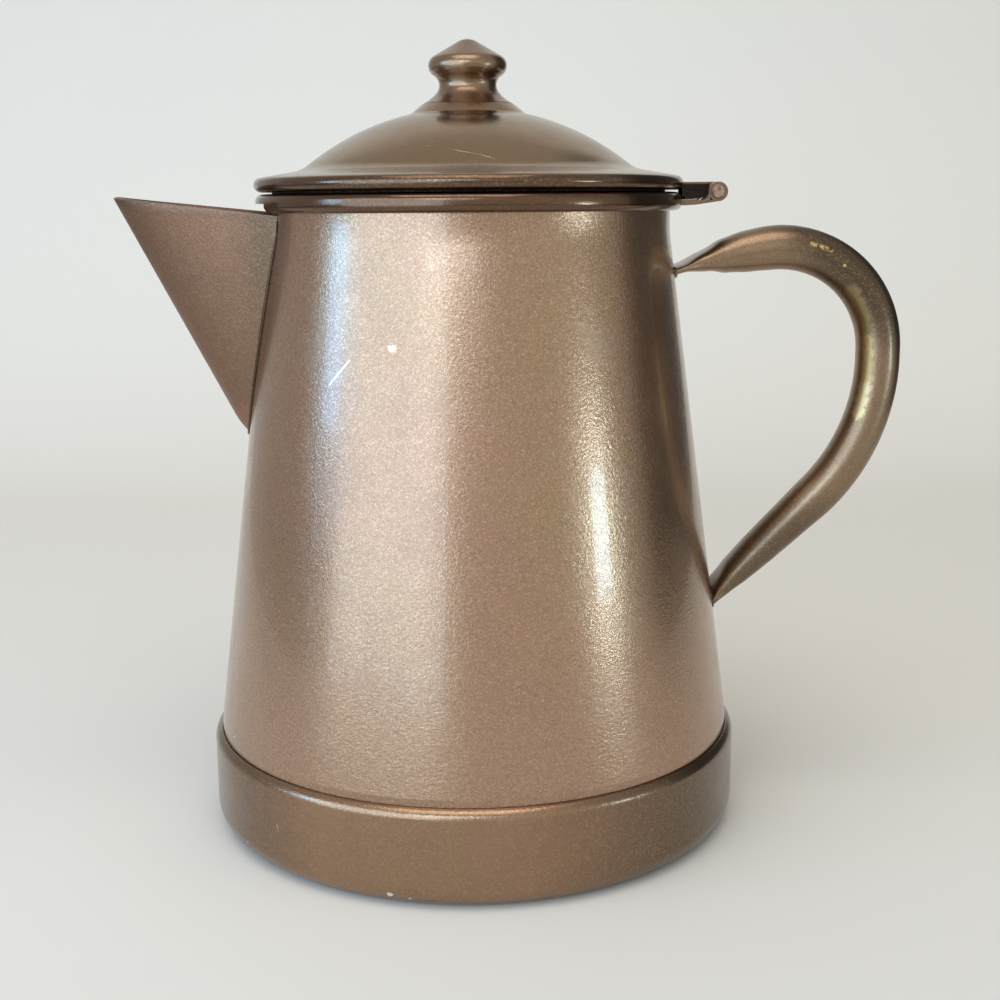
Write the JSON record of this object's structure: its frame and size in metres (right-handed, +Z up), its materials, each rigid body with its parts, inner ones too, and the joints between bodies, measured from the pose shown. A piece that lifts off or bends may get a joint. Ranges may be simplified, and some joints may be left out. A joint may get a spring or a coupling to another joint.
{
  "type": "tea kettle",
  "caption": "Tall tapered metal tea kettle with a folded pouring lip, a bent tube handle and a domed lid hinged at the handle side.",
  "frame": {"origin": "centre of the flat bottom of the base pan, on the surface the kettle stands on", "axes": "+Z up along the kettle's axis; +X from the spout (at -X) towards the handle and the lid's hinge; +Y to the back when the spout is on the left"},
  "size_m": [0.2167, 0.149, 0.2151],
  "materials": {
    "coated_steel": "metallic copper-brown powder coat, fine orange-peel texture",
    "lid_coat": "smooth dark copper coat",
    "knob_coat": "smooth dark copper coat, glossy",
    "spout_coat": "metallic copper coat over a grained sheet",
    "handle_coat": "metallic copper-brown coat, worn on the bend",
    "hinge_sheet": "thin copper-brown coat on folded sheet",
    "pin_steel": "cut wire end with a pinkish copper tone",
    "screw_steel": "plain steel"
  },
  "bodies": {
    "kettle": {"body_shell": "coated_steel", "base_pan": "coated_steel", "spout": "spout_coat", "handle": "handle_coat", "hinge_bracket": "hinge_sheet", "hinge_pin": "pin_steel"},
    "lid": {"lid_shell": "lid_coat", "lid_collar": "lid_coat", "hinge_strap": "hinge_sheet", "knob": "knob_coat", "knob_screw": "screw_steel", "knob_washer": "screw_steel"}
  },
  "joints": [
    {"name": "lid_hinge", "type": "hinge", "parent": "kettle", "child": "lid", "pos_m": [0.0667, 0, 0.1747], "axis": [0, 1, 0], "range_deg": [0, 175]}
  ]
}
